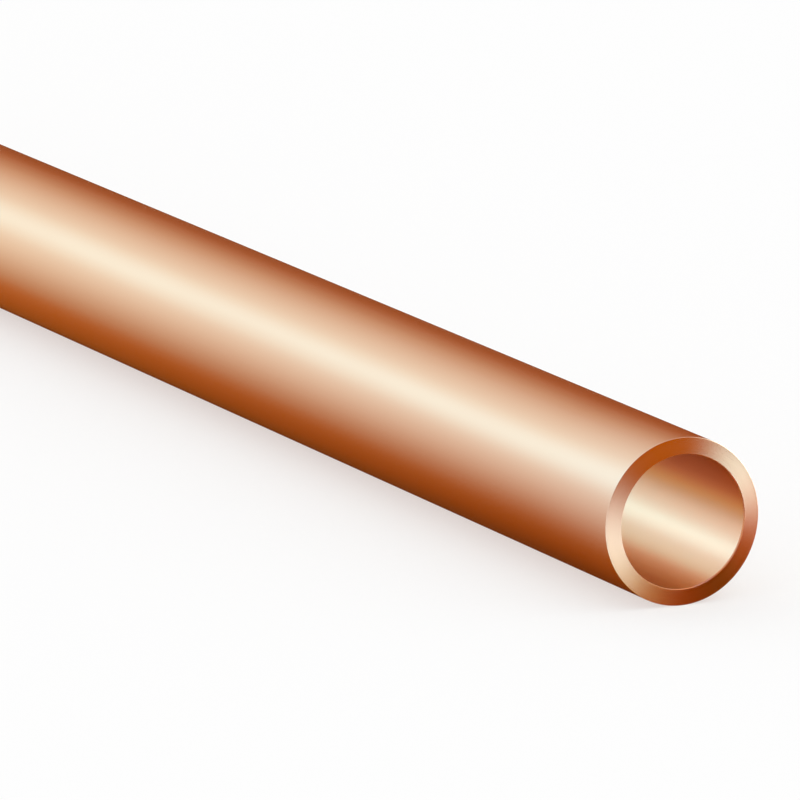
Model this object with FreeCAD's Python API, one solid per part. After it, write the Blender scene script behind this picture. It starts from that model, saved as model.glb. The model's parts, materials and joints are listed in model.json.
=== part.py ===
"""Straight length of hard-drawn round copper pipe, cut square at both ends.

The pipe is one seamless piece. It lies on a level floor along the X axis. The origin is on the
floor line under the middle of its length, +Z is up, and all sizes are in millimetres.

Both ends are alike. The saw leaves a flat ring, the outer corner is rolled over to a small
radius, and the mouth of the bore is reamed to a short bevel.
"""
import FreeCAD, Part
import os

# Driving dimensions.
OUTSIDE_DIAMETER = 10.0
WALL_THICKNESS = 1.0
CUT_LENGTH = 1000.0
CORNER_RADIUS = 0.12
REAM_DEPTH = 0.20
REAM_WIDTH = 0.12

PARTS_FOLDER = "parts"
NODE_NAME = "pipe"


def section_point(along, from_axis):
    """A point of the wall section, by its place along the pipe and its distance from the axis."""
    return FreeCAD.Vector(along, 0, from_axis)


def end_outline(end_x, inward):
    """The edges of the wall section at one cut end, from the outer skin round to the bore.

    end_x is where the cut lies, and inward is +1 or -1, the way along X into the pipe.
    """
    outer = OUTSIDE_DIAMETER / 2
    bore = outer - WALL_THICKNESS
    corner_centre = section_point(end_x + inward * CORNER_RADIUS, outer - CORNER_RADIUS)
    half_chord = CORNER_RADIUS / 2 ** 0.5
    skin_end = section_point(corner_centre.x, outer)
    corner_middle = corner_centre + section_point(-inward * half_chord, half_chord)
    face_top = section_point(end_x, outer - CORNER_RADIUS)
    face_bottom = section_point(end_x, bore + REAM_WIDTH)
    ream_end = section_point(end_x + inward * REAM_DEPTH, bore)
    return [
        Part.Arc(skin_end, corner_middle, face_top).toShape(),
        Part.LineSegment(face_top, face_bottom).toShape(),
        Part.LineSegment(face_bottom, ream_end).toShape(),
    ]


def wall_section():
    """The closed outline of the wall, straight above the pipe's axis."""
    half_length = CUT_LENGTH / 2
    right_end = end_outline(half_length, -1)
    left_end = end_outline(-half_length, +1)
    skin_right, skin_left = right_end[0].Vertexes[0], left_end[0].Vertexes[0]
    bore_right, bore_left = right_end[-1].Vertexes[-1], left_end[-1].Vertexes[-1]
    skin = Part.LineSegment(skin_left.Point, skin_right.Point).toShape()
    bore = Part.LineSegment(bore_left.Point, bore_right.Point).toShape()
    edges = Part.sortEdges(right_end + left_end + [skin, bore])
    return Part.Wire(edges[0])


def pipe():
    """The whole pipe: its wall section turned once round the axis, then set down on the floor."""
    axis_point = FreeCAD.Vector(0, 0, 0)
    axis_direction = FreeCAD.Vector(1, 0, 0)
    solid = Part.Face(wall_section()).revolve(axis_point, axis_direction, 360)
    solid.translate(FreeCAD.Vector(0, 0, OUTSIDE_DIAMETER / 2))
    return solid


os.makedirs(PARTS_FOLDER, exist_ok=True)
made = pipe()
made.exportStep(os.path.join(PARTS_FOLDER, NODE_NAME + ".step"))
print(NODE_NAME, made.ShapeType, "valid", made.isValid(), "volume mm3", round(made.Volume, 1))
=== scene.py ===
"""A length of bright hard-drawn copper pipe on a pale light table, seen from its cut end.

The pipe is one piece. A Geometry Nodes lathe turns its wall section round its axis, with the
rolled outer corner, the sawn ring and the hand-reamed bevel at each end, and three copper
finishes dress it: the drawn skin, the cut ends and the bore. Lengths are in metres and the frame
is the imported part's: the pipe lies along X, its near end towards +X, on the floor at Z = 0.
"""
import json
import logging
import math
from collections.abc import Iterable
from dataclasses import dataclass
from enum import Enum, IntEnum

import bpy
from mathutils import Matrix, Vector


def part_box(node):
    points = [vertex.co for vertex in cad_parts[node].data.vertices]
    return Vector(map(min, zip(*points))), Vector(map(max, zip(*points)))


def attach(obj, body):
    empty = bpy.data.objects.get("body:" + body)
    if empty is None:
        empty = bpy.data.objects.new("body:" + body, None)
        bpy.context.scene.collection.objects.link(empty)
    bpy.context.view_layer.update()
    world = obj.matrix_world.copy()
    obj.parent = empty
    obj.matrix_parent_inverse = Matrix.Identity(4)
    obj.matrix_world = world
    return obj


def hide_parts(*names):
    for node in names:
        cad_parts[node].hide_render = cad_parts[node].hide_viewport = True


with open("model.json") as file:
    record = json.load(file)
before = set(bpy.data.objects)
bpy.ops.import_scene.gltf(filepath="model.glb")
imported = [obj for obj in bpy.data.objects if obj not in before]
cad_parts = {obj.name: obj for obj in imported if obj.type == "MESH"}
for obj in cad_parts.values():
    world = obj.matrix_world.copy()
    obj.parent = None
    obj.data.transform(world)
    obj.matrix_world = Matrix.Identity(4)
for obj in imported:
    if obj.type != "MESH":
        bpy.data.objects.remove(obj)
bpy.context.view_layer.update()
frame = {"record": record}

LOG = logging.getLogger("copper_pipe")

PIPE_NODE = "pipe"
BODY = "root"
MILLIMETRE = 0.001
MILLIWATT = 0.001
WHITE = (1.0, 1.0, 1.0, 1.0)
ACROSS_PIPE = (0.0, 1.0, 1.0)

Colour = tuple[float, float, float]


class Band(IntEnum):
    """The stretches of the wall section, each with its own finish."""

    SKIN = 0
    CUT = 1
    BORE = 2


class End(IntEnum):
    """The pipe's two ends, by the way along X that each faces."""

    NEAR = 1
    FAR = -1


class Rise(Enum):
    """The ways that a share rises from 0 to 1."""

    EVEN = "LINEAR"
    SOFT = "SMOOTHSTEP"


class Wiring:
    """Adds nodes to one node tree and joins their sockets.

    The three places are those of a Mix node's two colours and of its result.
    """

    FIRST_COLOUR = 6
    SECOND_COLOUR = 7
    MIXED_COLOUR = 2

    def __init__(self, tree: bpy.types.NodeTree) -> None:
        """Keeps the tree.

        Args:
            tree: the node tree to add to.
        """
        self.tree = tree

    def feed(self, socket: bpy.types.NodeSocket, value: object) -> None:
        """Gives a socket its value, by a link from another socket or as a plain value.

        Args:
            socket: the input to set.
            value: an output socket, or a number, vector, colour or name.
        """
        if isinstance(value, bpy.types.NodeSocket):
            self.tree.links.new(value, socket)
        else:
            socket.default_value = value

    def add(self, kind: str, feeds: dict | None = None, **settings: object) -> bpy.types.Node:
        """Adds a node.

        Args:
            kind: the node's type name.
            feeds: a value or an output socket for each input, by the input's name or place.
            settings: the node's own options.

        Returns:
            The new node.
        """
        made = self.tree.nodes.new(kind)
        for name, value in settings.items():
            setattr(made, name, value)
        for place, value in (feeds or {}).items():
            self.feed(made.inputs[place], value)
        return made

    def math(self, operation: str, *values: object) -> bpy.types.NodeSocket:
        """Works out one number.

        Args:
            operation: the Math node's operation.
            values: its inputs, in order.

        Returns:
            The socket with the result.
        """
        kind = "ShaderNodeMath"
        return self.add(kind, dict(enumerate(values)), operation=operation).outputs[0]

    def vector(self, operation: str, *values: object) -> bpy.types.Node:
        """Adds a Vector Math node.

        Args:
            operation: the node's operation.
            values: its inputs, in order.

        Returns:
            The node, whose result is at Vector or Value.
        """
        kind = "ShaderNodeVectorMath"
        return self.add(kind, dict(enumerate(values)), operation=operation)

    def total(self, parts: Iterable[bpy.types.NodeSocket]) -> bpy.types.NodeSocket:
        """Adds vectors or colours up.

        Args:
            parts: their sockets.

        Returns:
            The socket with the sum.
        """
        whole, *others = parts
        for other in others:
            whole = self.vector("ADD", whole, other).outputs["Vector"]
        return whole

    def mix(
        self, share: bpy.types.NodeSocket, first: Colour, second: Colour
    ) -> bpy.types.NodeSocket:
        """Mixes two colours.

        Args:
            share: how much of the second one there is.
            first: the one colour.
            second: the other colour.

        Returns:
            The socket with the mixed colour.
        """
        feeds = {0: share, self.FIRST_COLOUR: (*first, 1), self.SECOND_COLOUR: (*second, 1)}
        return self.add("ShaderNodeMix", feeds, data_type="RGBA").outputs[self.MIXED_COLOUR]

    def rising(
        self, value: bpy.types.NodeSocket, ends: tuple[float, float], rise: Rise = Rise.SOFT
    ) -> bpy.types.NodeSocket:
        """A share that rises from 0 to 1 between two values.

        Args:
            value: the value.
            ends: where the share is 0, and where it is 1.
            rise: how it rises.

        Returns:
            The socket with the share.
        """
        feeds = {"Value": value, "From Min": ends[0], "From Max": ends[1]}
        return self.add("ShaderNodeMapRange", feeds, interpolation_type=rise.value).outputs[0]


@dataclass(frozen=True)
class CopperFinish:
    """One finish of the same copper, from the way that surface was made.

    Attributes:
        name: the material's name.
        roughness: how satin the surface is.
        anisotropy: how far its fine marks stretch a highlight across themselves.
        grain_turn: turns from the section's own direction to the way a highlight stretches.
        mark_scale: how many marks fit in a metre, along X and across it.
        mark_depth: depth of the marks, in metres.
        stain: how much the patches of thin oxide darken the metal.
        metal: the metal's colour, seen straight on: clean copper, except in the bore, where a
            darker, redder copper is painted shade.
        glancing: how its edges are tinted, seen at a slant; the bore's tint is darker and redder
            too, as painted shade.
        oxide: the colour of the patches.
    """

    MARKS_ROUGHEN = 0.06
    PATCHES_ROUGHEN = 0.03
    MARK_DETAIL = 4.0
    MARK_GRAIN = 0.6
    PATCH_DETAIL = 3.0
    PATCH_SCALE = (60.0, 260.0, 260.0)

    name: str
    roughness: float
    anisotropy: float
    grain_turn: float
    mark_scale: tuple[float, float, float]
    mark_depth: float
    stain: float
    metal: Colour = (0.945, 0.583, 0.400)
    glancing: Colour = (1.0, 0.62, 0.36)
    oxide: Colour = (0.80, 0.38, 0.22)

    def build(self, axis_height: float) -> bpy.types.Material:
        """Makes the finish's material.

        Args:
            axis_height: how high the pipe's axis lies.

        Returns:
            The material.
        """
        material = bpy.data.materials.new(self.name)
        material.use_nodes = True
        material.node_tree.nodes.clear()
        wiring = Wiring(material.node_tree)
        place = wiring.add("ShaderNodeTexCoord").outputs["Object"]
        centred = wiring.vector("SUBTRACT", place, (0.0, 0.0, axis_height)).outputs["Vector"]
        marks = self.marks(wiring, centred)
        patches = self.patches(wiring, centred)
        tint = wiring.mix(wiring.math("MULTIPLY", patches, self.stain), self.metal, self.oxide)
        smoothest = self.roughness - (self.MARKS_ROUGHEN + self.PATCHES_ROUGHEN) / 2
        worn = wiring.math("MULTIPLY_ADD", marks, self.MARKS_ROUGHEN, smoothest)
        roughness = wiring.math("MULTIPLY_ADD", patches, self.PATCHES_ROUGHEN, worn)
        bump = wiring.add(
            "ShaderNodeBump", {"Strength": 1.0, "Distance": self.mark_depth, "Height": marks}
        ).outputs["Normal"]
        tangent = wiring.add(
            "ShaderNodeTangent", direction_type="UV_MAP", uv_map=WallSection.UV_NAME
        ).outputs["Tangent"]
        shader = wiring.add(
            "ShaderNodeBsdfPrincipled",
            {
                "Base Color": tint,
                "Metallic": 1.0,
                "Roughness": roughness,
                "Specular Tint": (*self.glancing, 1),
                "Anisotropic": self.anisotropy,
                "Anisotropic Rotation": self.grain_turn,
                "Normal": bump,
                "Tangent": tangent,
            },
        )
        wiring.add("ShaderNodeOutputMaterial", {"Surface": shader.outputs["BSDF"]})
        return material

    def marks(self, wiring: Wiring, centred: bpy.types.NodeSocket) -> bpy.types.NodeSocket:
        """The fine marks of the tool, as a height from 0 to 1.

        Args:
            wiring: the material's wiring.
            centred: the place on the pipe, measured from its axis.

        Returns:
            The socket with the height.
        """
        return wiring.add(
            "ShaderNodeTexNoise",
            {
                "Vector": self.among_marks(wiring, centred),
                "Scale": 1.0,
                "Detail": self.MARK_DETAIL,
                "Roughness": self.MARK_GRAIN,
            },
        ).outputs["Fac"]

    def among_marks(self, wiring: Wiring, centred: bpy.types.NodeSocket) -> bpy.types.NodeSocket:
        """A place counted in marks.

        Args:
            wiring: the material's wiring.
            centred: the place on the pipe, measured from its axis.

        Returns:
            The socket with the place.
        """
        return wiring.vector("MULTIPLY", centred, self.mark_scale).outputs["Vector"]

    def patches(self, wiring: Wiring, centred: bpy.types.NodeSocket) -> bpy.types.NodeSocket:
        """The faint patches of oxide, from 0 to 1.

        Args:
            wiring: the material's wiring.
            centred: the place on the pipe, measured from its axis.

        Returns:
            The socket with the share of oxide.
        """
        stretched = wiring.vector("MULTIPLY", centred, self.PATCH_SCALE).outputs["Vector"]
        return wiring.add(
            "ShaderNodeTexNoise", {"Vector": stretched, "Scale": 1.0, "Detail": self.PATCH_DETAIL}
        ).outputs["Fac"]


@dataclass(frozen=True)
class TurnedFinish(CopperFinish):
    """The copper of a cut end, whose marks run round the axis.

    Its mark_scale is how many rings fit in a metre of radius, and how a ring changes on its way.
    """

    def among_marks(self, wiring: Wiring, centred: bpy.types.NodeSocket) -> bpy.types.NodeSocket:
        """A place counted in rings.

        Args:
            wiring: the material's wiring.
            centred: the place on the pipe, measured from its axis.

        Returns:
            The socket with the place.
        """
        flat = wiring.vector("MULTIPLY", centred, ACROSS_PIPE).outputs["Vector"]
        radius = wiring.vector("LENGTH", flat).outputs["Value"]
        outwards = wiring.vector("NORMALIZE", flat).outputs["Vector"]
        way = wiring.add("ShaderNodeSeparateXYZ", {0: outwards}).outputs
        turned = wiring.add("ShaderNodeCombineXYZ", {0: radius, 1: way["Y"], 2: way["Z"]})
        return super().among_marks(wiring, turned.outputs["Vector"])


SKIN_FINISH = CopperFinish(
    name="drawn copper skin",
    roughness=0.25,
    anisotropy=0.5,
    grain_turn=0.25,
    mark_scale=(20.0, 5200.0, 5200.0),
    mark_depth=1.0e-6,
    stain=0.15,
)
CUT_FINISH = TurnedFinish(
    name="sawn and reamed copper",
    roughness=0.20,
    anisotropy=0.8,
    grain_turn=0.0,
    mark_scale=(9000.0, 1.0, 1.0),
    mark_depth=1.0e-6,
    stain=0.15,
)
BORE_FINISH = CopperFinish(
    name="drawn copper bore",
    roughness=0.30,
    anisotropy=0.3,
    grain_turn=0.25,
    mark_scale=(20.0, 4200.0, 4200.0),
    mark_depth=0.7e-6,
    stain=0.10,
    # Darker and redder than clean copper: painted shade in the bore. It turns the bore's flanks
    # deep orange-brown, and the bore lamps' bluish light keeps the highlight cream.
    metal=(0.93, 0.48, 0.24),
    glancing=(0.86, 0.42, 0.10),
)


@dataclass
class WallSection:
    """The closed outline of the pipe's wall: places along X and distances from the axis.

    Attributes:
        half_length: half of the pipe's length.
        outer: outside radius.
        bore: inside radius.
        corner: radius of the rolled outer corner.
        ream_depth: how far the reamed bevel goes into the bore.
        ream_width: how much of the ring it takes.
        fall: how far the ring falls back from its inner to its outer edge, as the saw leaves it.
        stations: steps along the skin, and along the bore.
        corner_steps: steps round a rolled corner.
        ring_steps: steps across the ring.
    """

    half_length: float
    outer: float
    bore: float
    corner: float = 0.03 * MILLIMETRE
    ream_depth: float = 0.10 * MILLIMETRE
    ream_width: float = 0.04 * MILLIMETRE
    fall: float = 0.12 * MILLIMETRE
    stations: int = 100
    corner_steps: int = 8
    ring_steps: int = 6

    UV_NAME = "UVMap"

    @classmethod
    def from_frame(cls) -> "WallSection":
        """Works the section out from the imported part.

        Returns:
            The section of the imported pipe.
        """
        low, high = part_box(PIPE_NODE)
        mounts = {mount["name"]: mount["dims"] for mount in frame["record"]["mounts"]}
        return cls(
            half_length=(high.x - low.x) / 2,
            outer=mounts["near_end"]["r_mm"] * MILLIMETRE,
            bore=mounts["bore"]["r_mm"] * MILLIMETRE,
        )

    def end_middle(self) -> Vector:
        """The middle of the near end."""
        return Vector((self.half_length, 0.0, self.outer))

    def end(self) -> list[tuple[float, float, Band, float]]:
        """The outline of the near cut end, from the skin round to the bore.

        Returns:
            For each point its place along X, its distance from the axis, the band that starts
            there, and how far the reamer's hand may shift it.
        """
        points = []
        rolled = self.half_length - self.fall
        for step in range(self.corner_steps):
            angle = math.radians(90) * step / self.corner_steps
            along = rolled - self.corner * (1 - math.sin(angle))
            across = self.outer - self.corner * (1 - math.cos(angle))
            points.append((along, across, Band.CUT, 0.0))
        ring_top = self.outer - self.corner
        ring_bottom = self.bore + self.ream_width
        for step in range(self.ring_steps):
            share = step / self.ring_steps
            across = ring_top + (ring_bottom - ring_top) * share
            points.append((rolled + self.fall * share, across, Band.CUT, 0.0))
        points.append((self.half_length, ring_bottom, Band.CUT, 1.0))
        return points

    def outline(self) -> list[tuple[float, float, Band, float]]:
        """The whole outline, closed on its first point.

        Returns:
            The points, as end() gives them.
        """
        near = self.end()
        far = [(-along, across, band, hand) for along, across, band, hand in reversed(near)]
        reamed = self.half_length - self.ream_depth
        bore = [
            (reamed * (1 - 2 * step / self.stations), self.bore, Band.BORE, 0.0)
            for step in range(self.stations)
        ]
        bore.append((-reamed, self.bore, Band.CUT, 0.0))
        rolled = self.half_length - self.fall - self.corner
        skin = [
            (rolled * (2 * step / self.stations - 1), self.outer, Band.SKIN, 0.0)
            for step in range(1, self.stations)
        ]
        far[-1] = (far[-1][0], far[-1][1], Band.SKIN, 0.0)
        return [*near, *bore, *far, *skin, near[0]]

    def mesh(self) -> bpy.types.Mesh:
        """The outline as loose points that carry their band, run and hand.

        Returns:
            The mesh for the lathe to turn.
        """
        points = self.outline()
        mesh = bpy.data.meshes.new("wall section")
        mesh.from_pydata([(along, across, 0.0) for along, across, _, _ in points], [], [])
        runs = [0.0]
        for before, after in zip(points, points[1:]):
            runs.append(runs[-1] + math.dist(before[:2], after[:2]))
        columns = {"run": runs, "hand": [point[3] for point in points]}
        for name, values in columns.items():
            mesh.attributes.new(name, "FLOAT", "POINT").data.foreach_set("value", values)
        bands = [int(point[2]) for point in points]
        mesh.attributes.new("band", "INT", "POINT").data.foreach_set("value", bands)
        return mesh


@dataclass
class Lathe:
    """A Geometry Nodes tree that turns a wall section round the X axis into a closed pipe.

    Attributes:
        steps_round: facets round the pipe.
        axis_height: how high the axis lies.
        unevenness: how far the reamed edge wanders, since it is cut by hand.
        finishes: the material of each band.
    """

    steps_round: int
    axis_height: float
    unevenness: float
    finishes: dict[Band, bpy.types.Material]

    INPUTS = {
        "Steps round": "NodeSocketInt",
        "Axis height": "NodeSocketFloat",
        "Unevenness": "NodeSocketFloat",
    }
    WELD = 1e-7
    SHARP_ANGLE = math.radians(15)
    HALF_STEP = 0.5
    HAND_SEED = 4.0
    HAND_SCALE = 2.2
    HAND_DETAIL = 3.0
    HAND_MEAN = 0.5

    def tree(self) -> bpy.types.GeometryNodeTree:
        """Builds the tree.

        Returns:
            The Geometry Nodes tree.
        """
        tree = bpy.data.node_groups.new("turn wall section", "GeometryNodeTree")
        tree.interface.new_socket("Section", in_out="INPUT", socket_type="NodeSocketGeometry")
        for name, kind in self.INPUTS.items():
            tree.interface.new_socket(name, in_out="INPUT", socket_type=kind)
        tree.interface.new_socket("Pipe", in_out="OUTPUT", socket_type="NodeSocketGeometry")
        wiring = Wiring(tree)
        given = wiring.add("NodeGroupInput").outputs
        sheet, row, turn = self.sheet(wiring, given)
        run = self.sampled(wiring, given["Section"], "run", row)
        capture = wiring.add("GeometryNodeCaptureAttribute", {"Geometry": sheet}, domain="POINT")
        capture.capture_items.new("FLOAT", "run")
        capture.capture_items.new("FLOAT", "turn")
        wiring.feed(capture.inputs["run"], run)
        wiring.feed(capture.inputs["turn"], turn)
        turned = self.turned(wiring, given, capture.outputs["Geometry"], row, turn)
        flat_map = wiring.add(
            "ShaderNodeCombineXYZ", {0: capture.outputs["run"], 1: capture.outputs["turn"]}
        ).outputs["Vector"]
        mapped = wiring.add(
            "GeometryNodeStoreNamedAttribute",
            {"Geometry": turned, "Name": WallSection.UV_NAME, "Value": flat_map},
            data_type="FLOAT2",
            domain="CORNER",
        ).outputs["Geometry"]
        dressed = self.dressed(wiring, given, mapped)
        welded = wiring.add(
            "GeometryNodeMergeByDistance", {"Geometry": dressed, "Distance": self.WELD}
        ).outputs["Geometry"]
        outward = wiring.add("GeometryNodeFlipFaces", {"Mesh": welded}).outputs["Mesh"]
        smooth = wiring.add(
            "GeometryNodeSetShadeSmooth", {"Geometry": outward, "Shade Smooth": True}, domain="FACE"
        ).outputs["Geometry"]
        bend = wiring.add("GeometryNodeInputMeshEdgeAngle").outputs["Unsigned Angle"]
        sharp = wiring.math("GREATER_THAN", bend, self.SHARP_ANGLE)
        edged = wiring.add(
            "GeometryNodeSetShadeSmooth",
            {"Geometry": smooth, "Selection": sharp, "Shade Smooth": False},
            domain="EDGE",
        ).outputs["Geometry"]
        real = wiring.add("GeometryNodeRealizeInstances", {"Geometry": edged}).outputs["Geometry"]
        wiring.add("NodeGroupOutput", {"Pipe": real})
        return tree

    def sheet(
        self, wiring: Wiring, given: bpy.types.NodeOutputs
    ) -> tuple[bpy.types.NodeSocket, bpy.types.NodeSocket, bpy.types.NodeSocket]:
        """A flat sheet of quads with a row for each point of the section.

        Args:
            wiring: the tree's wiring.
            given: the tree's inputs.

        Returns:
            The sheet, each point's row, and each point's share of a whole turn.
        """
        count = wiring.add(
            "GeometryNodeAttributeDomainSize", {"Geometry": given["Section"]}, component="MESH"
        ).outputs["Point Count"]
        columns = wiring.math("ADD", given["Steps round"], 1)
        sheet = wiring.add("GeometryNodeMeshGrid", {"Vertices X": count, "Vertices Y": columns})
        index = wiring.add("GeometryNodeInputIndex").outputs["Index"]
        row = self.row(wiring, index, columns)
        column = wiring.math("SUBTRACT", index, wiring.math("MULTIPLY", row, columns))
        turn = wiring.math("DIVIDE", column, given["Steps round"])
        return sheet.outputs["Mesh"], row, turn

    def row(
        self, wiring: Wiring, index: bpy.types.NodeSocket, columns: bpy.types.NodeSocket
    ) -> bpy.types.NodeSocket:
        """The row that a point or a face of the sheet is in.

        Args:
            wiring: the tree's wiring.
            index: its place in the sheet's order.
            columns: how many of them a row has.

        Returns:
            The socket with the row.
        """
        clear_of_edge = wiring.math("ADD", index, self.HALF_STEP)
        return wiring.math("FLOOR", wiring.math("DIVIDE", clear_of_edge, columns))

    def sampled(
        self, wiring: Wiring, section: bpy.types.NodeSocket, name: str, row: bpy.types.NodeSocket
    ) -> bpy.types.NodeSocket:
        """Reads one of the section's attributes for each row.

        Args:
            wiring: the tree's wiring.
            section: the section's points.
            name: the attribute.
            row: the row to read.

        Returns:
            The socket with the value.
        """
        named = wiring.add("GeometryNodeInputNamedAttribute", {"Name": name}, data_type="FLOAT")
        return wiring.add(
            "GeometryNodeSampleIndex",
            {"Geometry": section, "Value": named.outputs["Attribute"], "Index": row},
            data_type="FLOAT",
        ).outputs["Value"]

    def turned(
        self,
        wiring: Wiring,
        given: bpy.types.NodeOutputs,
        sheet: bpy.types.NodeSocket,
        row: bpy.types.NodeSocket,
        turn: bpy.types.NodeSocket,
    ) -> bpy.types.NodeSocket:
        """Rolls the sheet up round the axis.

        Args:
            wiring: the tree's wiring.
            given: the tree's inputs.
            sheet: the flat sheet.
            row: each point's row.
            turn: each point's share of a turn.

        Returns:
            The socket with the rolled sheet.
        """
        place = wiring.add("GeometryNodeInputPosition").outputs["Position"]
        sample = wiring.add(
            "GeometryNodeSampleIndex",
            {"Geometry": given["Section"], "Value": place, "Index": row},
            data_type="FLOAT_VECTOR",
        ).outputs["Value"]
        parts = wiring.add("ShaderNodeSeparateXYZ", {0: sample}).outputs
        angle = wiring.math("MULTIPLY", turn, math.tau)
        cosine = wiring.math("COSINE", angle)
        sine = wiring.math("SINE", angle)
        round_place = wiring.add("ShaderNodeCombineXYZ", {0: cosine, 1: sine}).outputs["Vector"]
        wander = wiring.add(
            "ShaderNodeTexNoise",
            {
                "Vector": round_place,
                "W": self.HAND_SEED,
                "Scale": self.HAND_SCALE,
                "Detail": self.HAND_DETAIL,
            },
            noise_dimensions="4D",
        ).outputs["Fac"]
        hand = self.sampled(wiring, given["Section"], "hand", row)
        strayed = wiring.math("SUBTRACT", wander, self.HAND_MEAN)
        reach = wiring.math("MULTIPLY", strayed, given["Unevenness"])
        radius = wiring.math("ADD", parts["Y"], wiring.math("MULTIPLY", reach, hand))
        across = wiring.math("MULTIPLY", radius, cosine)
        raised = wiring.math("MULTIPLY", radius, sine)
        up = wiring.math("ADD", raised, given["Axis height"])
        rolled = wiring.add("ShaderNodeCombineXYZ", {0: parts["X"], 1: across, 2: up})
        feeds = {"Geometry": sheet, "Position": rolled.outputs["Vector"]}
        return wiring.add("GeometryNodeSetPosition", feeds).outputs["Geometry"]

    def dressed(
        self, wiring: Wiring, given: bpy.types.NodeOutputs, rolled: bpy.types.NodeSocket
    ) -> bpy.types.NodeSocket:
        """Gives each band of faces its finish.

        Args:
            wiring: the tree's wiring.
            given: the tree's inputs.
            rolled: the rolled sheet.

        Returns:
            The socket with the finished faces.
        """
        index = wiring.add("GeometryNodeInputIndex").outputs["Index"]
        row = self.row(wiring, index, given["Steps round"])
        band = self.sampled(wiring, given["Section"], "band", row)
        capture = wiring.add("GeometryNodeCaptureAttribute", {"Geometry": rolled}, domain="FACE")
        capture.capture_items.new("FLOAT", "band")
        wiring.feed(capture.inputs["band"], band)
        geometry = capture.outputs["Geometry"]
        for kind, material in self.finishes.items():
            chosen = wiring.math("COMPARE", capture.outputs["band"], float(kind), self.HALF_STEP)
            geometry = wiring.add(
                "GeometryNodeSetMaterial",
                {"Geometry": geometry, "Selection": chosen, "Material": material},
            ).outputs["Geometry"]
        return geometry

    def turn(self, section: WallSection, name: str) -> bpy.types.Object:
        """Turns a section and keeps the result as a plain mesh.

        Args:
            section: the wall section.
            name: the finished piece's name.

        Returns:
            The finished piece.
        """
        stock = bpy.data.objects.new("section stock", section.mesh())
        bpy.context.scene.collection.objects.link(stock)
        modifier = stock.modifiers.new("lathe", "NODES")
        modifier.node_group = self.tree()
        sizes = {
            "Steps round": self.steps_round,
            "Axis height": self.axis_height,
            "Unevenness": self.unevenness,
        }
        for item in modifier.node_group.interface.items_tree:
            if item.name in sizes:
                modifier[item.identifier] = sizes[item.name]
        evaluated = stock.evaluated_get(bpy.context.evaluated_depsgraph_get())
        mesh = bpy.data.meshes.new_from_object(evaluated)
        mesh.name = name
        stock.modifiers.remove(modifier)
        bpy.data.objects.remove(stock)
        piece = bpy.data.objects.new(name, mesh)
        bpy.context.scene.collection.objects.link(piece)
        return piece


@dataclass
class CopperPipe:
    """The pipe: one seamless piece.

    Attributes:
        section: its wall section.
        steps_round: facets round the pipe.
        unevenness: how far the reamed edge wanders.
    """

    section: WallSection
    steps_round: int = 256
    unevenness: float = 0.04 * MILLIMETRE

    def build(self) -> bpy.types.Object:
        """Turns and dresses the pipe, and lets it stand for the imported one.

        Returns:
            The finished piece.
        """
        height = self.section.outer
        finishes = {
            Band.SKIN: SKIN_FINISH.build(height),
            Band.CUT: CUT_FINISH.build(height),
            Band.BORE: BORE_FINISH.build(height),
        }
        lathe = Lathe(self.steps_round, height, self.unevenness, finishes)
        piece = lathe.turn(self.section, "copper_pipe")
        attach(piece, BODY)
        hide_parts(PIPE_NODE)
        return piece


def direction(bearing: float, height: float) -> Vector:
    """A direction, from its bearing and its height.

    Args:
        bearing: the way to it, in degrees from +X towards +Y.
        height: how high it stands, in degrees.

    Returns:
        The unit vector.
    """
    turn, rise = math.radians(bearing), math.radians(height)
    level = math.cos(rise)
    return Vector((level * math.cos(turn), level * math.sin(turn), math.sin(rise)))


def fading(
    wiring: Wiring, way: bpy.types.NodeSocket, aim: Vector, half_angle: float, colour: Colour
) -> bpy.types.NodeSocket:
    """A lamp's light, which fades with the angle from its middle.

    Args:
        wiring: the wiring of the world or the material.
        way: the direction looked in.
        aim: the direction of the lamp's middle.
        half_angle: the angle where its light ends, in degrees.
        colour: its light in the middle.

    Returns:
        The socket with the light's colour.
    """
    nearness = wiring.vector("DOT_PRODUCT", way, aim).outputs["Value"]
    off = wiring.math("ARCCOSINE", nearness)
    level = wiring.rising(off, (math.radians(half_angle), 0.0))
    return wiring.vector("MULTIPLY", colour, level).outputs["Vector"]


def shine(
    wiring: Wiring, colour: object, strength: object = 1.0, clearness: object = WHITE
) -> None:
    """Ends a material that gives off light and lets light through.

    Args:
        wiring: the material's wiring.
        colour: its light's colour.
        strength: its light's strength.
        clearness: how much it lets through of what lies behind it.
    """
    glow = wiring.add("ShaderNodeEmission", {"Color": colour, "Strength": strength}).outputs[0]
    clear = wiring.add("ShaderNodeBsdfTransparent", {"Color": clearness}).outputs[0]
    joined = wiring.add("ShaderNodeAddShader", {0: glow, 1: clear}).outputs[0]
    wiring.add("ShaderNodeOutputMaterial", {"Surface": joined})


def stand_unseen(mesh: bpy.types.Mesh, place: Vector) -> bpy.types.Object:
    """Stands a light fitting in the studio, of which only gloss takes note.

    Args:
        mesh: the fitting, with its name.
        place: where it stands.

    Returns:
        The fitting.
    """
    fitting = bpy.data.objects.new(mesh.name, mesh)
    fitting.location = place
    bpy.context.scene.collection.objects.link(fitting)
    fitting.visible_camera = False
    fitting.visible_diffuse = False
    fitting.visible_shadow = False
    return fitting


@dataclass(frozen=True)
class Softbox:
    """A soft round lamp, of which only the pipe's gloss takes note.

    Attributes:
        bearing: the way to it from the pipe, in degrees from +X towards +Y.
        height: how high it stands, in degrees.
        half_angle: how far from its middle its light fades away, in degrees.
        colour: its light in the middle.
    """

    bearing: float
    height: float
    half_angle: float
    colour: Colour

    def light(self, wiring: Wiring, way: bpy.types.NodeSocket) -> bpy.types.NodeSocket:
        """Its light from a direction.

        Args:
            wiring: the wiring of the world or the material.
            way: the direction looked in.

        Returns:
            The socket with the light's colour.
        """
        aim = direction(self.bearing, self.height)
        return fading(wiring, way, aim, self.half_angle, self.colour)


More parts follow.
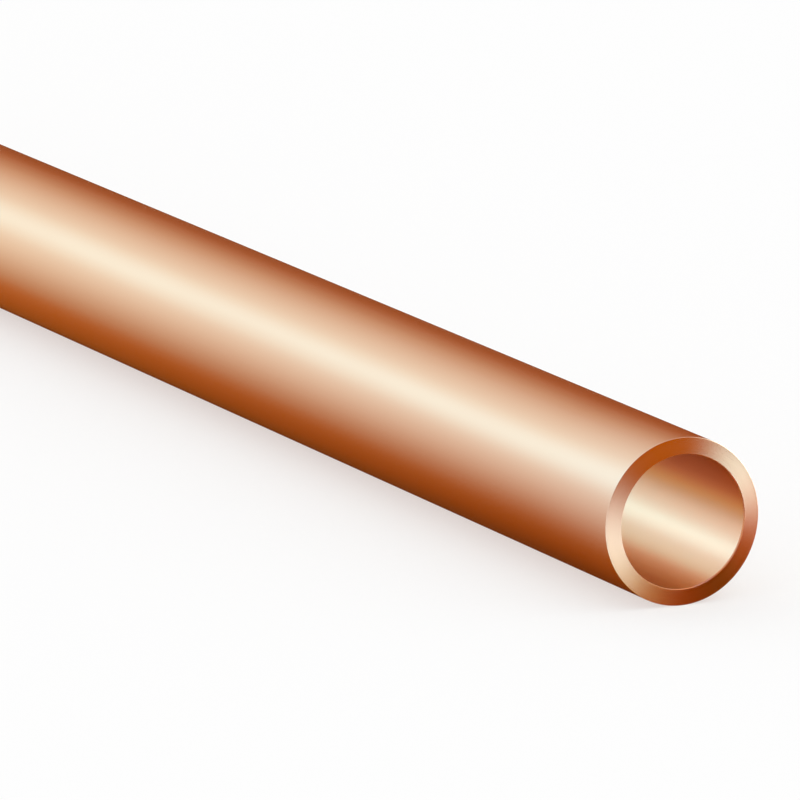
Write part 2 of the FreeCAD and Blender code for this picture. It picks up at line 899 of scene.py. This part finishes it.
@dataclass(frozen=True)
class StripLamp:
    """A long lamp that hangs along the pipe, of which only the pipe's gloss takes note.

    Attributes:
        height: its height round the pipe's axis, in degrees up from the front.
        spread: how far round from there its light fades away, in degrees.
        colour: its light in the middle.
    """

    height: float
    spread: float
    colour: Colour

    def light(self, wiring: Wiring, round_axis: bpy.types.NodeSocket) -> bpy.types.NodeSocket:
        """Its light from a direction.

        Args:
            wiring: the world's wiring.
            round_axis: the direction looked in, seen along the axis.

        Returns:
            The socket with the light's colour.
        """
        height = math.radians(self.height)
        aim = Vector((0.0, -math.cos(height), math.sin(height)))
        return fading(wiring, round_axis, aim, self.spread, self.colour)


@dataclass
class Studio:
    """The light: an even pale room for the floor, and soft lamps for the metal's gloss.

    Three long strip lamps hang over the pipe, along it and a little in front: a narrow one for
    the crest of the highlight, a wide daylight one, and a wider amber one that warms the shades.

    Attributes:
        room: the even light of the room.
        strips: the long lamps.
        softboxes: the lamps that light the back: two daylight ones above two amber ones.
    """

    room: float = 1.0
    strips: tuple[StripLamp, ...] = (
        StripLamp(43, 31, (0.111, 0.474, 0.782)),
        StripLamp(52, 117, (0.324, 1.019, 1.418)),
        StripLamp(48, 237, (0.616, 0.205, 0.0)),
    )
    softboxes: tuple[Softbox, ...] = (
        Softbox(95, 35, 42, (0.9, 1.35, 1.6)),
        Softbox(98, -2, 58, (0.45, 0.2, 0.05)),
        Softbox(46, 27, 42, (0.9, 1.35, 1.6)),
        Softbox(42, -2, 58, (0.45, 0.2, 0.05)),
    )

    def build(self) -> None:
        """Lights the scene's world."""
        world = bpy.data.worlds.new("studio")
        bpy.context.scene.world = world
        world.use_nodes = True
        world.node_tree.nodes.clear()
        world.cycles.sampling_method = "NONE"
        wiring = Wiring(world.node_tree)
        way = wiring.add("ShaderNodeTexCoord").outputs["Generated"]
        level = wiring.vector("MULTIPLY", way, ACROSS_PIPE).outputs["Vector"]
        round_axis = wiring.vector("NORMALIZE", level).outputs["Vector"]
        lights = [strip.light(wiring, round_axis) for strip in self.strips]
        lights += [softbox.light(wiring, way) for softbox in self.softboxes]
        gloss = wiring.add("ShaderNodeBackground", {"Color": wiring.total(lights)}).outputs[0]
        plain = (self.room, self.room, self.room, 1)
        even = wiring.add("ShaderNodeBackground", {"Color": plain}).outputs[0]
        glossy_ray = wiring.add("ShaderNodeLightPath").outputs["Is Glossy Ray"]
        mixed = wiring.add("ShaderNodeMixShader", {0: glossy_ray, 1: even, 2: gloss}).outputs[0]
        wiring.add("ShaderNodeOutputWorld", {"Surface": mixed})


@dataclass
class LightTable:
    """The floor: a wide pale table, lit a little from below so that shadows stay soft.

    Attributes:
        half_width: from its middle to its edge.
        pale: how much of the room's light it gives back.
        glow: its own light.
    """

    half_width: float = 400.0
    pale: float = 0.42
    glow: float = 0.57

    def build(self) -> bpy.types.Object:
        """Lays the table under the pipe.

        Returns:
            The floor.
        """
        material = bpy.data.materials.new("pale table")
        material.use_nodes = True
        shader = material.node_tree.nodes["Principled BSDF"].inputs
        shader["Base Color"].default_value = (self.pale, self.pale, self.pale, 1)
        shader["Roughness"].default_value = 1.0
        shader["Specular IOR Level"].default_value = 0.0
        shader["Emission Color"].default_value = WHITE
        shader["Emission Strength"].default_value = self.glow
        mesh = bpy.data.meshes.new("floor")
        edge = self.half_width
        corners = [(-edge, -edge, 0), (edge, -edge, 0), (edge, edge, 0), (-edge, edge, 0)]
        mesh.from_pydata(corners, [], [(0, 1, 2, 3)])
        mesh.materials.append(material)
        floor = bpy.data.objects.new("floor", mesh)
        bpy.context.scene.collection.objects.link(floor)
        floor.visible_glossy = False
        return floor


@dataclass
class EndTent:
    """A dark dome before the near end, with the soft lamps that its cut ring reflects.

    Only gloss takes note of it. It stands close to the end, so that the rest of the pipe has the
    light of the long strips from every side.

    Attributes:
        radius: its distance from the middle of the near end.
        way: bearing and height of the way to its middle, which the ring reflects, in degrees.
        reach: how far from that way its edge lies, in degrees.
        thinning: how far from it the dome starts to let light through, and lets all through.
        softboxes: its lamps, by their way from the middle of the near end.
        rings: facets from its middle to its edge.
        spokes: facets round it.
    """

    radius: float = 120 * MILLIMETRE
    way: tuple[float, float] = (26.0, -12.0)
    reach: float = 85.0
    thinning: tuple[float, float] = (40.0, 70.0)
    softboxes: tuple[Softbox, ...] = (
        Softbox(66, 12, 36, (4.23, 8.24, 9.71)),
        Softbox(-10, -19, 31, (2.20, 3.56, 4.25)),
        Softbox(-4, -42, 31, (1.08, 1.10, 0.39)),
        Softbox(68, -12, 31, (1.22, 0.24, 0.0)),
        Softbox(24, -48, 28, (0.54, 0.03, 0.0)),
        Softbox(21, 9, 60, (0.48, 0.14, 0.0)),
    )
    rings: int = 16
    spokes: int = 48

    def build(self, section: WallSection) -> bpy.types.Object:
        """Stands the dome before the near end.

        Args:
            section: the pipe's wall section.

        Returns:
            The dome.
        """
        middle = direction(*self.way)
        across = middle.orthogonal().normalized()
        aside = middle.cross(across)
        corners = [middle * self.radius]
        for ring in range(1, self.rings + 1):
            off = math.radians(self.reach) * ring / self.rings
            for spoke in range(self.spokes):
                turn = math.tau * spoke / self.spokes
                outwards = across * math.cos(turn) + aside * math.sin(turn)
                corners.append((middle * math.cos(off) + outwards * math.sin(off)) * self.radius)
        faces = []
        for spoke in range(self.spokes):
            first, second = spoke + 1, (spoke + 1) % self.spokes + 1
            faces.append((0, first, second))
            for ring in range(self.rings - 1):
                inner, outer = ring * self.spokes, (ring + 1) * self.spokes
                faces.append((inner + first, outer + first, outer + second, inner + second))
        mesh = bpy.data.meshes.new("end tent")
        mesh.from_pydata(corners, [], faces)
        mesh.materials.append(self.material())
        return stand_unseen(mesh, section.end_middle())

    def material(self) -> bpy.types.Material:
        """The dome's cloth and lamps.

        Returns:
            The material.
        """
        material = bpy.data.materials.new("end tent light")
        material.use_nodes = True
        material.cycles.emission_sampling = "NONE"
        material.node_tree.nodes.clear()
        wiring = Wiring(material.node_tree)
        place = wiring.add("ShaderNodeTexCoord").outputs["Object"]
        way = wiring.vector("NORMALIZE", place).outputs["Vector"]
        met = wiring.total(softbox.light(wiring, way) for softbox in self.softboxes)
        nearness = wiring.vector("DOT_PRODUCT", way, direction(*self.way)).outputs["Value"]
        begins, ends = (math.radians(angle) for angle in self.thinning)
        clearness = wiring.rising(wiring.math("ARCCOSINE", nearness), (begins, ends))
        shine(wiring, met, clearness=clearness)
        return material


@dataclass
class Cove:
    """A curved reflector round the pipe's front and underside, of which only gloss takes note.

    Attributes:
        radius: its distance from the pipe's axis.
        arc: where it starts and ends round the axis, in degrees up from the front.
        length: how far it goes on along the pipe.
        reach: how far from the near end's X its light begins, and where it has its full strength.
        upper_rim: the heights over the axis between which its light sets in.
        lower_rim: the heights between which its upper colour passes into its lower one.
        upper: its light above.
        lower: its light below.
        steps: facets round the axis.
    """

    radius: float = 60 * MILLIMETRE
    arc: tuple[float, float] = (70.0, -120.0)
    length: float = 1200 * MILLIMETRE
    reach: tuple[float, float] = (-100 * MILLIMETRE, -260 * MILLIMETRE)
    upper_rim: tuple[float, float] = (55 * MILLIMETRE, 0.0)
    lower_rim: tuple[float, float] = (-35 * MILLIMETRE, -55 * MILLIMETRE)
    upper: Colour = (0.172, 0.360, 0.379)
    lower: Colour = (0.209, 0.127, 0.032)
    steps: int = 32

    def build(self, section: WallSection) -> bpy.types.Object:
        """Stands the reflector beside the pipe.

        Args:
            section: the pipe's wall section.

        Returns:
            The reflector.
        """
        near = section.half_length + self.reach[0]
        first, last = (math.radians(angle) for angle in self.arc)
        corners = []
        for step in range(self.steps + 1):
            angle = first + (last - first) * step / self.steps
            across, raised = -self.radius * math.cos(angle), self.radius * math.sin(angle)
            corners.append((near, across, raised))
            corners.append((near - self.length, across, raised))
        faces = [(2 * step, 2 * step + 1, 2 * step + 3, 2 * step + 2) for step in range(self.steps)]
        mesh = bpy.data.meshes.new("cove")
        mesh.from_pydata(corners, [], faces)
        mesh.materials.append(self.material(section))
        return stand_unseen(mesh, Vector((0.0, 0.0, section.outer)))

    def material(self, section: WallSection) -> bpy.types.Material:
        """The reflector's light.

        Args:
            section: the pipe's wall section.

        Returns:
            The material.
        """
        material = bpy.data.materials.new("cove light")
        material.use_nodes = True
        material.node_tree.nodes.clear()
        wiring = Wiring(material.node_tree)
        place = wiring.add("ShaderNodeTexCoord").outputs["Object"]
        parts = wiring.add("ShaderNodeSeparateXYZ", {0: place}).outputs
        start, full = (section.half_length + end for end in self.reach)
        strength = wiring.math(
            "MULTIPLY",
            wiring.rising(parts["X"], (start, full), Rise.EVEN),
            wiring.rising(parts["Z"], self.upper_rim),
        )
        colour = wiring.mix(wiring.rising(parts["Z"], self.lower_rim), self.upper, self.lower)
        shine(wiring, colour, strength)
        return material


@dataclass(frozen=True)
class BoreGlow:
    """One band of a bore lamp's light.

    Attributes:
        width: its width, in millimetres.
        lift: how far it hangs off the pipe's axis, upwards across the lamp's light, in millimetres.
        drop: how far it hangs off the axis along the lamp's light, in millimetres.
        turn: how far its own light is turned from the lamp's, in degrees.
        power: its power, in milliwatts.
        colour: its light.
    """

    width: float
    lift: float
    drop: float
    turn: float
    power: float
    colour: Colour


@dataclass
class BoreLamp:
    """A long lamp inside one end, which gives the bore its highlight.

    A pale core and a wide pale band face the wall that the camera sees. On each side two wings
    face each other, so that the highlight fades out round the bore through amber.

    Attributes:
        start: how far inside the mouth it begins.
        length: how far it goes on from there.
        lean: how far its light is turned from straight down towards the back, in degrees.
        gap: how far each band hangs behind the one before, so that none covers another.
        glows: its bands, from the core outwards.
    """

    start: float = 3 * MILLIMETRE
    length: float = 60 * MILLIMETRE
    lean: float = 63.7
    gap: float = 0.05 * MILLIMETRE
    glows: tuple[BoreGlow, ...] = (
        BoreGlow(0.8, 0.5, 0.0, 0.0, 0.743, (0.119, 0.478, 1.0)),
        BoreGlow(4.6, 0.5, 0.0, 0.0, 1.338, (0.245, 0.553, 1.0)),
        BoreGlow(1.4, 2.6, 0.8, -90.0, 0.688, (0.243, 0.593, 1.0)),
        BoreGlow(1.3, 2.6, 2.2, -90.0, 0.056, (1.0, 0.456, 0.0)),
        BoreGlow(1.4, -2.6, 0.8, 90.0, 0.133, (0.850, 1.0, 0.0)),
        BoreGlow(1.3, -2.6, 2.2, 90.0, 0.059, (1.0, 0.0, 0.0)),
    )

    def build(self, section: WallSection, end: End) -> None:
        """Hangs the lamp in one end.

        Args:
            section: the pipe's wall section.
            end: which end.
        """
        lean = math.radians(self.lean)
        along = section.half_length - self.start - self.length / 2
        middle = Vector((end * along, 0.0, section.outer))
        rise = Vector((0.0, end * math.cos(lean), math.sin(lean)))
        down = Vector((0.0, end * math.sin(lean), -math.cos(lean)))
        for place, glow in enumerate(self.glows):
            data = bpy.data.lights.new("bore lamp", "AREA")
            data.shape = "RECTANGLE"
            data.size, data.size_y = self.length, glow.width * MILLIMETRE
            data.energy = glow.power * MILLIWATT
            data.color = glow.colour
            data.cycles.max_bounces = 1
            lamp = bpy.data.objects.new("bore lamp", data)
            lifted = rise * glow.lift * MILLIMETRE
            dropped = down * (glow.drop * MILLIMETRE - self.gap * place)
            lamp.location = middle + lifted + dropped
            lamp.rotation_euler = (end * (lean + math.radians(glow.turn)), 0.0, 0.0)
            lamp.visible_camera = False
            lamp.visible_diffuse = False
            bpy.context.scene.collection.objects.link(lamp)


@dataclass
class Viewpoint:
    """The photograph's camera: a long lens that looks along the pipe from above its near end.

    Attributes:
        azimuth: the way that it looks, turned from +Y, in degrees.
        elevation: how far it looks down, in degrees.
        distance: from the near end, along its line of sight.
        lens: focal length, in millimetres.
        sensor_width: the sensor's width, in millimetres.
        end_pixel: where the middle of the near end falls in the frame.
        frame_side: the frame's side, in pixels.
        clip: how near and how far it sees.
    """

    azimuth: float = 64.0
    elevation: float = 12.223
    distance: float = 588.16 * MILLIMETRE
    lens: float = 456.29
    sensor_width: float = 36.0
    end_pixel: tuple[float, float] = (683.17, 521.94)
    frame_side: float = 800.0
    clip: tuple[float, float] = (0.01, 1000.0)

    def build(self, aim: Vector) -> bpy.types.Object:
        """Sets the camera up.

        Args:
            aim: the middle of the near end.

        Returns:
            The camera.
        """
        turn, rise = math.radians(self.azimuth), math.radians(self.elevation)
        level = math.cos(rise)
        back = Vector((math.sin(turn) * level, -math.cos(turn) * level, math.sin(rise)))
        right = Vector((math.cos(turn), math.sin(turn), 0.0))
        up = back.cross(right)
        per_pixel = self.distance * self.sensor_width / self.lens / self.frame_side
        right_of_middle = (self.end_pixel[0] - self.frame_side / 2) * per_pixel
        above_middle = (self.frame_side / 2 - self.end_pixel[1]) * per_pixel
        data = bpy.data.cameras.new("camera")
        data.lens = self.lens
        data.sensor_width = self.sensor_width
        data.clip_start, data.clip_end = self.clip
        camera = bpy.data.objects.new("camera", data)
        camera.location = aim - right * right_of_middle - up * above_middle + back * self.distance
        camera.rotation_mode = "QUATERNION"
        camera.rotation_quaternion = (-back).to_track_quat("-Z", "Y")
        bpy.context.scene.collection.objects.link(camera)
        bpy.context.scene.camera = camera
        return camera


def main() -> None:
    """Builds the pipe and its studio, and reports each piece."""
    logging.basicConfig(level=logging.INFO)
    section = WallSection.from_frame()
    pipe = CopperPipe(section).build()
    LOG.info("%s: %d faces", pipe.name, len(pipe.data.polygons))
    LightTable().build()
    Studio().build()
    EndTent().build(section)
    Cove().build(section)
    for end in End:
        BoreLamp().build(section, end)
    Viewpoint().build(section.end_middle())
    bpy.context.scene.view_settings.view_transform = "Standard"


if __name__ == "__main__":
    main()
